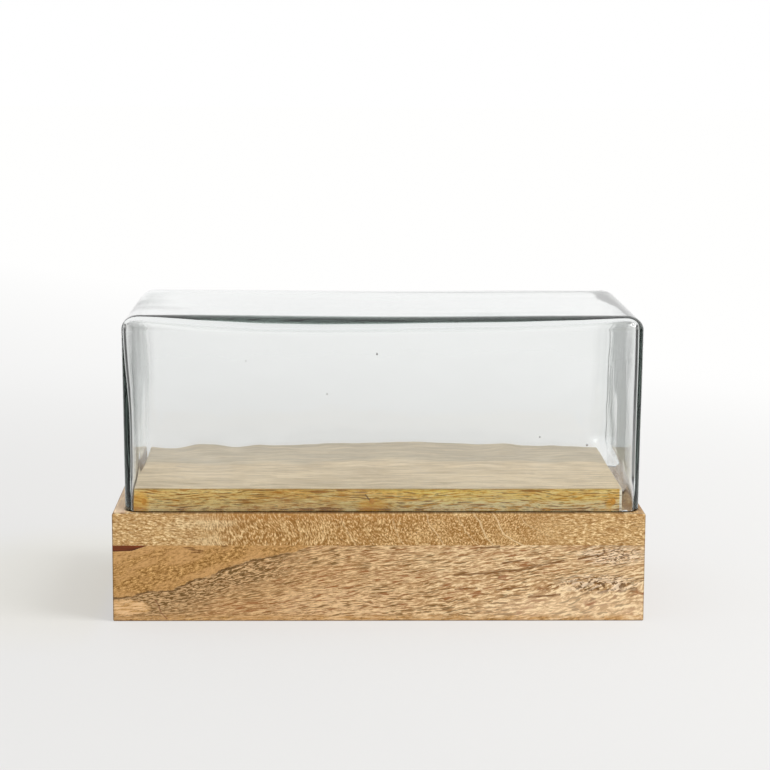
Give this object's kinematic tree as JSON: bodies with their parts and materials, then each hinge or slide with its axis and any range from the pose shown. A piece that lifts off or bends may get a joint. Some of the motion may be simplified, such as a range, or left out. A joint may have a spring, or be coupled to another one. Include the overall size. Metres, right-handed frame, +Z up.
{
  "type": "glass display dome",
  "caption": "Rectangular display cover of thick rippled glass that lifts off a stepped base of solid mango wood.",
  "frame": {"origin": "middle of the base's underside, on the surface that it stands on", "axes": "+X along the long side, to the right as seen from the front; +Y to the back; +Z up"},
  "size_m": [0.3, 0.151, 0.1725],
  "materials": {
    "glass": "clear, slightly green-grey at its edges, gently rippled",
    "lower_board_wood": "sanded mango wood with a thin satin wax",
    "upper_board_wood": "sanded mango wood with a thin satin wax",
    "centre_board_wood": "sanded mango wood with a thin satin wax",
    "brad_steel": "dull drawn steel",
    "amber_filler": "amber wood filler, sanded flush",
    "dark_filler": "dark red-brown wood filler, sanded flush"
  },
  "bodies": {
    "base": {"lower_board": "lower_board_wood", "upper_board": "upper_board_wood", "centre_board": "centre_board_wood", "centre_board_brads": "brad_steel", "brad_filler_plugs": "amber_filler", "seam_filler_wedge": "dark_filler"},
    "dome": {"glass_dome": "glass"}
  },
  "joints": [
    {"name": "dome_lift", "type": "slide", "parent": "base", "child": "dome", "axis": [0, 0, 1], "range_m": [0, 0.13]}
  ]
}
